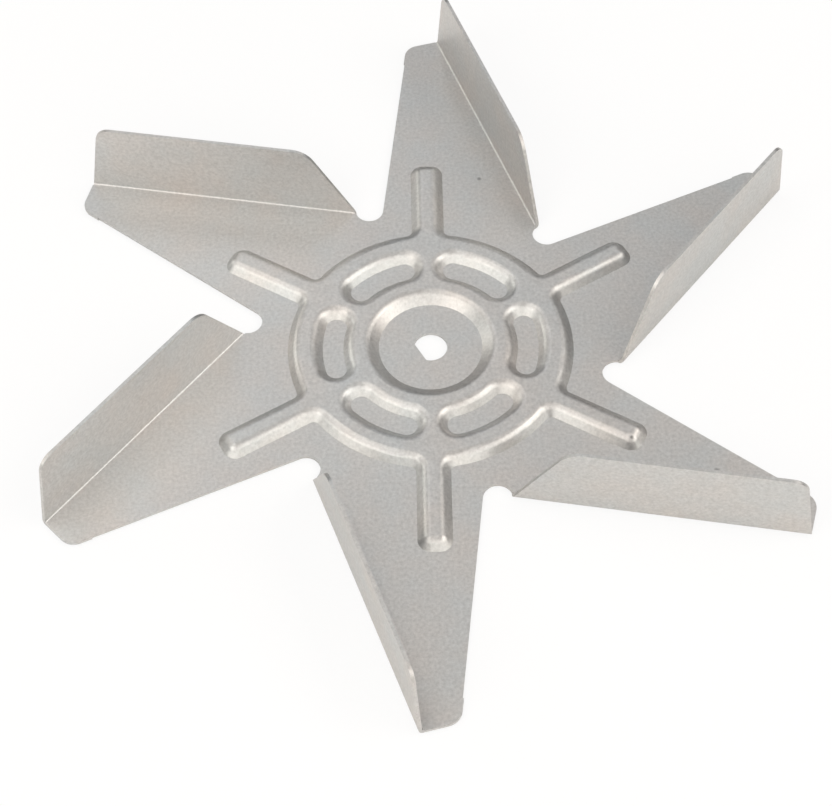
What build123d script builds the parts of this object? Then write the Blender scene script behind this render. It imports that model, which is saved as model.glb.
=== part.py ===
from build123d import *
import math
import os

# Axial fan impeller pressed from one sheet of aluminised steel: six flat blades, each with its
# leading side bent up into a vane, and a raised ring with six ribs that stiffens the hub.
# The origin is on the shaft axis at the underside of the sheet, and the vanes stand up along +Z.
# Each blade is drawn with its rib along +X. Seen from above, its vane is on the clockwise side.

# The sheet and the wheel
wheel_diameter = 200.0        # circle that the outer corners of the vanes sweep
sheet = 0.8                   # thickness of the steel
blade_count = 6

# The vane, measured along its fold and up from the underside of the wheel
fold_angle = 20.2             # slant of the fold to the blade's rib
vane_offset = 38.7            # from the shaft axis to the outer face of the vane
bend_radius = 0.5             # inside of the fold
vane_height = 21.3            # underside of the wheel to the vane's top edge
root_slope = 60.5             # rise of the vane's sloping root edge
tip_lean = 9.9                # lean of the vane's outer end, back towards the root
vane_tip_corner = 3.8         # radius at the outer end of the top edge
vane_root_corner = 6.0        # radius at the end of the top edge over the root

# The flat of the blade
trail_offset = 16.0           # from the shaft axis to the line of the trailing edge
tip_angle = 13.5              # slant of the outer edge
tip_width = 8.07              # length of the outer edge, from the fold to the trailing edge
tip_corner = 4.0              # radius at the outer trailing corner
die_step = 0.25               # small jog where the outer corner was cut by a second punch
die_step_back = 5.5           # from the outer corner of the trailing edge back to the jog

# The round relief at the foot of each gap
relief_radius = 3.45
relief_past_vane = 0.5        # from the outer face of the vane out to the relief's centre

# The raised ring and ribs
raise_height = 2.2
ring_radius = 34.1            # foot of the ring's outer wall
rib_length = 56.2             # from the shaft axis to the foot of the rib's end
rib_width = 8.0               # between the feet of the rib's walls
rib_end_corner = 3.0
rib_root_corner = 1.5         # hollow corner where a rib leaves the ring
wall_run = 2.0                # how far a raised wall leans in over its height
crown_radius = 2.5            # outside of the bend at the top of a wall

# What stays at the level of the blades inside the ring
seat_radius = 12.35           # round seat for the shaft hub
seat_wall_run = 2.8
seat_band = 8.5               # from the seat out to the six curved pads, foot to foot
ring_band = 8.35              # from the pads out to the ring's outer wall, foot to foot
pad_gap = 7.1                 # along the ring between the round ends of neighbouring pads
pad_wall_run = 1.9

# The shaft hole
bore_diameter = 8.0
bore_across_flat = 6.9        # from the flat to the far side of the hole
bore_flat_angle = 120.0       # from the first blade's rib to the middle of the flat, along a rib

pitch_angle = 360.0 / blade_count
face_reach = bend_radius + sheet
pad_inside = seat_radius + seat_band
pad_outside = ring_radius - ring_band


def along(angle):
    """Unit direction in the plane of the sheet, anticlockwise from the blade's rib."""
    return Vector(math.cos(math.radians(angle)), math.sin(math.radians(angle)))


def crossing(normal_a, reach_a, normal_b, reach_b):
    """Point where two lines cross, each given by its unit normal and distance from the axis."""
    det = normal_a.X * normal_b.Y - normal_a.Y * normal_b.X
    x = (reach_a * normal_b.Y - reach_b * normal_a.Y) / det
    y = (reach_b * normal_a.X - reach_a * normal_b.X) / det
    return Vector(x, y)


# Directions and lines that the blade and its vane share
fold_way = along(fold_angle)
fold_out = along(fold_angle - 90)
fold_reach = vane_offset - face_reach
vane_end = math.sqrt((wheel_diameter / 2) ** 2 - vane_offset**2)
tip_at_fold = fold_out * fold_reach + fold_way * vane_end
outer_corner = tip_at_fold + along(tip_angle + 90) * tip_width

# The trailing edge runs from the outer corner past the shaft axis at its set distance
corner_direction = math.degrees(math.atan2(outer_corner.Y, outer_corner.X))
corner_to_normal = math.degrees(math.acos((trail_offset + die_step) / outer_corner.length))
trail_out = along(corner_direction + corner_to_normal)
trail_way = along(corner_direction + corner_to_normal - 90)

# A relief touches the trailing edge beside it and sits just outside the vane of the next blade
relief_ahead = crossing(
    trail_out,
    trail_offset + relief_radius,
    along(fold_angle - 90 + pitch_angle),
    vane_offset + relief_past_vane,
)
relief_behind = relief_ahead.rotate(Axis.Z, -pitch_angle)
vane_start = relief_behind.dot(fold_way) + math.sqrt(
    relief_radius**2 - (relief_behind.dot(fold_out) - fold_reach) ** 2
)


def blade_outline():
    """Flat of one blade with its share of the hub, out to the start of the fold."""
    jog = outer_corner.dot(trail_way) - die_step_back
    flat = Polygon(
        Vector(0, 0),
        relief_behind,
        fold_out * fold_reach + fold_way * relief_behind.dot(fold_way),
        tip_at_fold,
        outer_corner,
        trail_out * (trail_offset + die_step) + trail_way * jog,
        trail_out * trail_offset + trail_way * jog,
        trail_out * trail_offset + trail_way * relief_ahead.dot(trail_way),
        relief_ahead,
        align=None,
    )
    return fillet(flat.vertices().sort_by_distance(outer_corner)[0], tip_corner)


def blank_outline():
    """The whole flat of the wheel, before the vanes: six blades with a round relief between each."""
    blank = Sketch() + [Rot(0, 0, i * pitch_angle) * blade_outline() for i in range(blade_count)]
    return blank - [
        Rot(0, 0, i * pitch_angle) * Pos(*relief_ahead) * Circle(relief_radius)
        for i in range(blade_count)
    ]


def vane():
    """One vane with its fold: the folded strip, trimmed to the vane's side outline."""
    section_view = Plane(origin=fold_way * vane_end, x_dir=fold_out, z_dir=-fold_way)
    bend = Pos(fold_reach, sheet + bend_radius) * (Circle(face_reach) - Circle(bend_radius))
    quarter = Pos(fold_reach, 0) * Rectangle(face_reach, face_reach, align=(Align.MIN, Align.MIN))
    wall = Pos(fold_reach + bend_radius, face_reach) * Rectangle(
        sheet, vane_height - face_reach, align=(Align.MIN, Align.MIN)
    )
    strip = extrude(section_view * ((bend & quarter) + wall), vane_end)

    root_top = vane_start + vane_height / math.tan(math.radians(root_slope))
    end_top = vane_end - vane_height * math.tan(math.radians(tip_lean))
    side = Polygon(
        (vane_start, 0),
        (vane_end, 0),
        (end_top, vane_height),
        (root_top, vane_height),
        align=None,
    )
    root_vertex = side.vertices().group_by(Axis.Y)[-1].sort_by(Axis.X)[0]
    side = fillet(root_vertex, vane_root_corner)
    tip_vertex = side.vertices().group_by(Axis.Y)[-1].sort_by(Axis.X)[-1]
    side = fillet(tip_vertex, vane_tip_corner)
    side_view = Plane(origin=(0, 0, 0), x_dir=fold_way, z_dir=fold_out)
    return strip & extrude(side_view * side, wheel_diameter / 2)


def skin_shift(run, skin):
    """How far a wall's foot moves into the raised shape on going down through the sheet."""
    slope = math.atan2(run, raise_height)
    return skin * (1 / math.cos(slope) - math.tan(slope))


def ring_and_ribs():
    """Outline of the raised ring with its ribs, at the foot of the walls."""
    rib = Pos(rib_length / 2, 0) * Rectangle(rib_length, rib_width)
    rib = fillet(rib.vertices().group_by(Axis.X)[-1], rib_end_corner)
    star = Circle(ring_radius) + [Rot(0, 0, i * pitch_angle) * rib for i in range(blade_count)]
    root = math.sqrt(ring_radius**2 - (rib_width / 2) ** 2)
    near_root = math.hypot(root, rib_width / 2)
    corners = [v for v in star.vertices() if abs(Vector(v).length - near_root) < 0.01]
    return fillet(corners, rib_root_corner)


def pad():
    """Outline of one curved pad with round ends, half a pitch round from the rib."""
    pad_width = pad_outside - pad_inside
    pad_radius = (pad_inside + pad_outside) / 2
    sweep = pitch_angle - math.degrees((pad_width + pad_gap) / pad_radius)
    middle = CenterArc((0, 0), pad_radius, (pitch_angle - sweep) / 2, sweep)
    return SlotArc(middle, pad_width)


def raised_form(skin):
    """Raised ring and ribs as a solid: the sheet's upper skin, or the hollow one thickness below it."""
    lean = math.degrees(math.atan2(wall_run, raise_height))
    outline = offset(ring_and_ribs(), -skin_shift(wall_run, skin)) if skin else ring_and_ribs()
    form = extrude(outline, raise_height, taper=lean)

    seat_foot = seat_radius + skin_shift(seat_wall_run, skin)
    form -= Pos(0, 0, raise_height / 2) * Cone(seat_foot, seat_foot + seat_wall_run, raise_height)

    pad_lean = math.degrees(math.atan2(pad_wall_run, raise_height))
    pad_outline = offset(pad(), skin_shift(pad_wall_run, skin)) if skin else pad()
    pad_cut = extrude(pad_outline, raise_height, taper=-pad_lean)
    return form - [Rot(0, 0, i * pitch_angle) * pad_cut for i in range(blade_count)]


def pressed_sheet():
    """Sheet with the ring and ribs pressed up, before it is cut out: the same thickness all over."""
    plain = Cylinder(wheel_diameter, sheet, align=(Align.CENTER, Align.CENTER, Align.MIN))
    upper = raised_form(0)
    upper = fillet(upper.edges().group_by(Axis.Z)[-1], crown_radius)
    return plain + Pos(0, 0, sheet) * upper - raised_form(sheet)


def bore():
    """Shaft hole with one flat."""
    flat_reach = bore_across_flat - bore_diameter / 2
    round_part = Circle(bore_diameter / 2)
    beyond = Pos(flat_reach, 0) * Rectangle(
        bore_diameter, bore_diameter, align=(Align.MIN, Align.CENTER)
    )
    return Rot(0, 0, bore_flat_angle) * (round_part - beyond)


def fan_impeller():
    """The finished wheel, one piece of sheet."""
    cut_height = sheet + raise_height
    wheel = pressed_sheet() & extrude(blank_outline() - bore(), cut_height)
    wheel += [Rot(0, 0, i * pitch_angle) * vane() for i in range(blade_count)]
    return wheel


# The first blade's rib lies along +X, so the ribs point at 0, 60, 120 degrees and so on;
# a quarter turn stands one rib along +Y.
wheel = Rot(0, 0, 90) * fan_impeller()
wheel.label = "fan_impeller"
os.makedirs("parts", exist_ok=True)
export_step(wheel, "parts/fan_impeller.step")
print("fan_impeller", len(wheel.solids()), "solid", round(wheel.volume, 1), "mm3")
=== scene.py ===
import bpy
import math
from mathutils import Matrix, Vector

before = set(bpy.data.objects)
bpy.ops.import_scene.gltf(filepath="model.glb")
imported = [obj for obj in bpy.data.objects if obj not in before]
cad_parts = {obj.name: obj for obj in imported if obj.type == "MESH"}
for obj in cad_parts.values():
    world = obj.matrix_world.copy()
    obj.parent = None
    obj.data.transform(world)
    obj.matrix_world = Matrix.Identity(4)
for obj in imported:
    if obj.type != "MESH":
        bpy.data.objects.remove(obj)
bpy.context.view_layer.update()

# The fan wheel: one blank of hot-dip aluminised steel, 0.8 mm thick, cut and pressed in a
# progressive die. The raised ring and ribs are pressed into it and the six vanes folded up from
# it, so the whole wheel is a single piece with one finish.
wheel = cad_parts["fan_impeller"]

COATING = (0.578, 0.593, 0.601)        # tin-grey of the aluminium-silicon coating
COATING_WARM = (0.610, 0.590, 0.577)   # faint warm tint that comes and goes over the sheet
GRAIN_SIZE = 0.0008                    # metres across one grain of the coating
PATCHES_PER_METRE = 70                 # how fast the warm and cool tints follow each other
PATCH_EDGES = (0.30, 0.70)             # where a patch is fully cool and fully warm
GRAIN_EDGES = (0.25, 0.75)             # where a grain is at its darkest and lightest
GRAIN_SHADE = (0.84, 1.16)             # dark and light grains against the mean colour
GRAIN_ROUGHNESS = (0.39, 0.49)         # smoothest and roughest grains
GRAIN_RELIEF = 0.00008                 # metres from the valleys of the grain to its tops
RELIEF_STRENGTH = 0.12

# Each mark is its middle in metres, how far it reaches, and how much light it takes away: three
# specks where grit was pressed into the coating, and a faint rub near the end of one rib.
MARKS = (
    ((0.0133, 0.0518, 0.0008), 0.0007, 0.45),
    ((0.0458, -0.0282, 0.0028), 0.0006, 0.5),
    ((0.0647, -0.0363, 0.0008), 0.0008, 0.35),
    ((0.0454, 0.0245, 0.0029), 0.0012, 0.12),
)
MARK_CORE = 0.4                        # share of a mark's reach that is fully dark

# The two colours of a colour mix, and its result, by the place of their sockets
FIRST, SECOND, MIXED = 6, 7, 2

steel = bpy.data.materials.new("aluminised_sheet")
steel.use_nodes = True
nodes, links = steel.node_tree.nodes, steel.node_tree.links
bsdf = nodes["Principled BSDF"]
bsdf.inputs["Metallic"].default_value = 1.0
place = nodes.new("ShaderNodeTexCoord")


def mottle(scale, detail, roughness):
    """Cloudy noise fixed to the sheet."""
    noise = nodes.new("ShaderNodeTexNoise")
    noise.inputs["Scale"].default_value = scale
    noise.inputs["Detail"].default_value = detail
    noise.inputs["Roughness"].default_value = roughness
    links.new(place.outputs["Object"], noise.inputs["Vector"])
    return noise.outputs["Fac"]


def graded(source, edges, results):
    """The source carried from one range to another, and held at the ends."""
    grade = nodes.new("ShaderNodeMapRange")
    grade.inputs["From Min"].default_value = edges[0]
    grade.inputs["From Max"].default_value = edges[1]
    grade.inputs["To Min"].default_value = results[0]
    grade.inputs["To Max"].default_value = results[1]
    links.new(source, grade.inputs["Value"])
    return grade.outputs["Result"]


def dimmed(colour, share):
    """The colour times a share of light."""
    mix = nodes.new("ShaderNodeMix")
    mix.data_type = "RGBA"
    mix.blend_type = "MULTIPLY"
    mix.inputs[0].default_value = 1
    links.new(colour, mix.inputs[FIRST])
    links.new(share, mix.inputs[SECOND])
    return mix.outputs[MIXED]


grain = mottle(1 / GRAIN_SIZE, 3, 0.65)
patches = mottle(PATCHES_PER_METRE, 4, 0.5)

tint = nodes.new("ShaderNodeMix")
tint.data_type = "RGBA"
tint.inputs[FIRST].default_value = (*COATING, 1)
tint.inputs[SECOND].default_value = (*COATING_WARM, 1)
links.new(graded(patches, PATCH_EDGES, (0, 1)), tint.inputs[0])
finish = dimmed(tint.outputs[MIXED], graded(grain, GRAIN_EDGES, GRAIN_SHADE))

for middle, reach, depth in MARKS:
    away = nodes.new("ShaderNodeVectorMath")
    away.operation = "DISTANCE"
    away.inputs[1].default_value = middle
    links.new(place.outputs["Object"], away.inputs[0])
    mark = graded(away.outputs["Value"], (MARK_CORE * reach, reach), (1 - depth, 1))
    finish = dimmed(finish, mark)
links.new(finish, bsdf.inputs["Base Color"])
links.new(graded(grain, GRAIN_EDGES, GRAIN_ROUGHNESS), bsdf.inputs["Roughness"])

skin = nodes.new("ShaderNodeBump")
skin.inputs["Strength"].default_value = RELIEF_STRENGTH
skin.inputs["Distance"].default_value = GRAIN_RELIEF
links.new(grain, skin.inputs["Height"])
links.new(skin.outputs["Normal"], bsdf.inputs["Normal"])

for slot in wheel.material_slots:
    slot.material = steel

# The paper floor: a wide sheet of matt white paper that the wheel lies on and that carries its
# shadow. It is white to the eye, and its glow in the metal is faint.
FLOOR_REACH = 8.0                      # metres from the middle to each side
FLOOR_DROP = 0.0006                    # metres below the wheel's underside
PAPER_WHITE = 0.86
GLOW_TO_EYE = 0.85
GLOW_IN_METAL = 0.12

floor_mesh = bpy.data.meshes.new("floor")
corners = [(x * FLOOR_REACH, y * FLOOR_REACH, 0) for x, y in ((-1, -1), (1, -1), (1, 1), (-1, 1))]
floor_mesh.from_pydata(corners, [], [(0, 1, 2, 3)])
floor = bpy.data.objects.new("floor", floor_mesh)
floor.location.z = -FLOOR_DROP
bpy.context.scene.collection.objects.link(floor)

paper = bpy.data.materials.new("white_paper")
paper.use_nodes = True
paper_nodes, paper_links = paper.node_tree.nodes, paper.node_tree.links
matt_paper = paper_nodes["Principled BSDF"]
matt_paper.inputs["Base Color"].default_value = (PAPER_WHITE, PAPER_WHITE, PAPER_WHITE, 1)
matt_paper.inputs["Roughness"].default_value = 0.9
matt_paper.inputs["Specular IOR Level"].default_value = 0.1
glow = paper_nodes.new("ShaderNodeEmission")
glow.inputs["Strength"].default_value = 1
seen_by = paper_nodes.new("ShaderNodeLightPath")
to_eye = paper_nodes.new("ShaderNodeMath")
to_eye.operation = "MULTIPLY"
to_eye.inputs[1].default_value = GLOW_TO_EYE
glow_share = paper_nodes.new("ShaderNodeMath")
glow_share.operation = "MULTIPLY_ADD"
glow_share.inputs[1].default_value = GLOW_IN_METAL
paper_and_glow = paper_nodes.new("ShaderNodeMixShader")
paper_links.new(seen_by.outputs["Is Camera Ray"], to_eye.inputs[0])
paper_links.new(seen_by.outputs["Is Glossy Ray"], glow_share.inputs[0])
paper_links.new(to_eye.outputs[0], glow_share.inputs[2])
paper_links.new(glow_share.outputs[0], paper_and_glow.inputs[0])
paper_links.new(matt_paper.outputs[0], paper_and_glow.inputs[1])
paper_links.new(glow.outputs[0], paper_and_glow.inputs[2])
paper_links.new(paper_and_glow.outputs[0], paper_nodes["Material Output"].inputs["Surface"])
floor.data.materials.append(paper)

# The room beyond the floor: white to the eye, and a faint even light on everything in it.
ROOM_LIGHT = 0.15

world = bpy.data.worlds.new("studio")
bpy.context.scene.world = world
world.use_nodes = True
room_nodes, room_links = world.node_tree.nodes, world.node_tree.links
room = room_nodes["Background"]
room.inputs["Color"].default_value = (1, 1, 1, 1)
room_seen_by = room_nodes.new("ShaderNodeLightPath")
brightness = room_nodes.new("ShaderNodeMath")
brightness.operation = "MULTIPLY_ADD"
brightness.inputs[1].default_value = 1 - ROOM_LIGHT
brightness.inputs[2].default_value = ROOM_LIGHT
room_links.new(room_seen_by.outputs["Is Camera Ray"], brightness.inputs[0])
room_links.new(brightness.outputs[0], room.inputs["Strength"])

# The soft boxes: cloth-fronted lamps on stands all round the wheel and overhead. Two rows of
# them in front stand side by side and act as one low strip and one high strip.
BOX_DISTANCE = 1.3                     # metres from the shaft axis
BOX_SIZE = 0.6                         # metres, height of every box and width of a single one
WARM_WHITE = (1, 0.94, 0.87)
SOFT_WHITE = (1, 0.975, 0.90)
NEUTRAL_WHITE = (1, 1, 0.99)


def soft_box(name, turn, rise, width, power, colour):
    """A soft box aimed at the wheel, turned round from the front and raised, in degrees."""
    lamp = bpy.data.lights.new(name, "AREA")
    lamp.shape = "RECTANGLE"
    lamp.size = width
    lamp.size_y = BOX_SIZE
    lamp.energy = power
    lamp.color = colour
    box = bpy.data.objects.new(name, lamp)
    turn, rise = math.radians(turn), math.radians(rise)
    box.location = Vector((
        math.sin(turn) * math.cos(rise),
        -math.cos(turn) * math.cos(rise),
        math.sin(rise),
    )) * BOX_DISTANCE
    box.rotation_euler = (-box.location).to_track_quat("-Z", "Y").to_euler()
    bpy.context.scene.collection.objects.link(box)


for name, turn, rise, power, colour in (
    ("right", 90, 48, 4.2, WARM_WHITE),
    ("right_behind", 126, 48, 1.25, WARM_WHITE),
    ("behind_right", 162, 48, 0.6, NEUTRAL_WHITE),
    ("behind_left", 198, 48, 1.2, NEUTRAL_WHITE),
    ("low_left_behind", 240, 24, 2.4, SOFT_WHITE),
    ("overhead_left", 252, 72, 2.75, WARM_WHITE),
    ("left_front", 306, 48, 2.8, WARM_WHITE),
):
    soft_box(name, turn, rise, BOX_SIZE, power, colour)
for turn in (-75, -45, -15, 15, 45, 75):
    soft_box("low_front_strip", turn, 24, 0.68, 1.9, SOFT_WHITE)
for turn in (-54, -18, 18, 54):
    soft_box("front_strip", turn, 48, 0.5, 1.3, WARM_WHITE)

# The camera: a long lens on a stand, in front of the wheel and looking down on it. It is tipped
# a little to one side, and the wheel's centre is a little off the middle of the frame.
VIEW_TURN = math.radians(0.283)
VIEW_RISE = math.radians(56.10)
VIEW_ROLL = math.radians(-1.449)
VIEW_DISTANCE = 0.4797                 # metres from the shaft axis
SHIFT_LEFT = 0.003826
SHIFT_DOWN = 0.0129
LENS = 86.86                           # millimetres, on a sensor 36 mm wide

back = Vector((
    math.sin(VIEW_TURN) * math.cos(VIEW_RISE),
    -math.cos(VIEW_TURN) * math.cos(VIEW_RISE),
    math.sin(VIEW_RISE),
))
right = Vector((math.cos(VIEW_TURN), math.sin(VIEW_TURN), 0))
up = back.cross(right)
eye = bpy.data.cameras.new("camera")
eye.sensor_width = 36
eye.lens = LENS
eye.clip_start = 0.01
camera = bpy.data.objects.new("camera", eye)
level = Matrix((right, up, back)).transposed()
camera.matrix_world = (
    Matrix.Translation(back * VIEW_DISTANCE - right * SHIFT_LEFT - up * SHIFT_DOWN)
    @ level.to_4x4()
    @ Matrix.Rotation(VIEW_ROLL, 4, "Z")
)
bpy.context.scene.collection.objects.link(camera)
bpy.context.scene.camera = camera

bpy.context.scene.view_settings.view_transform = "Standard"
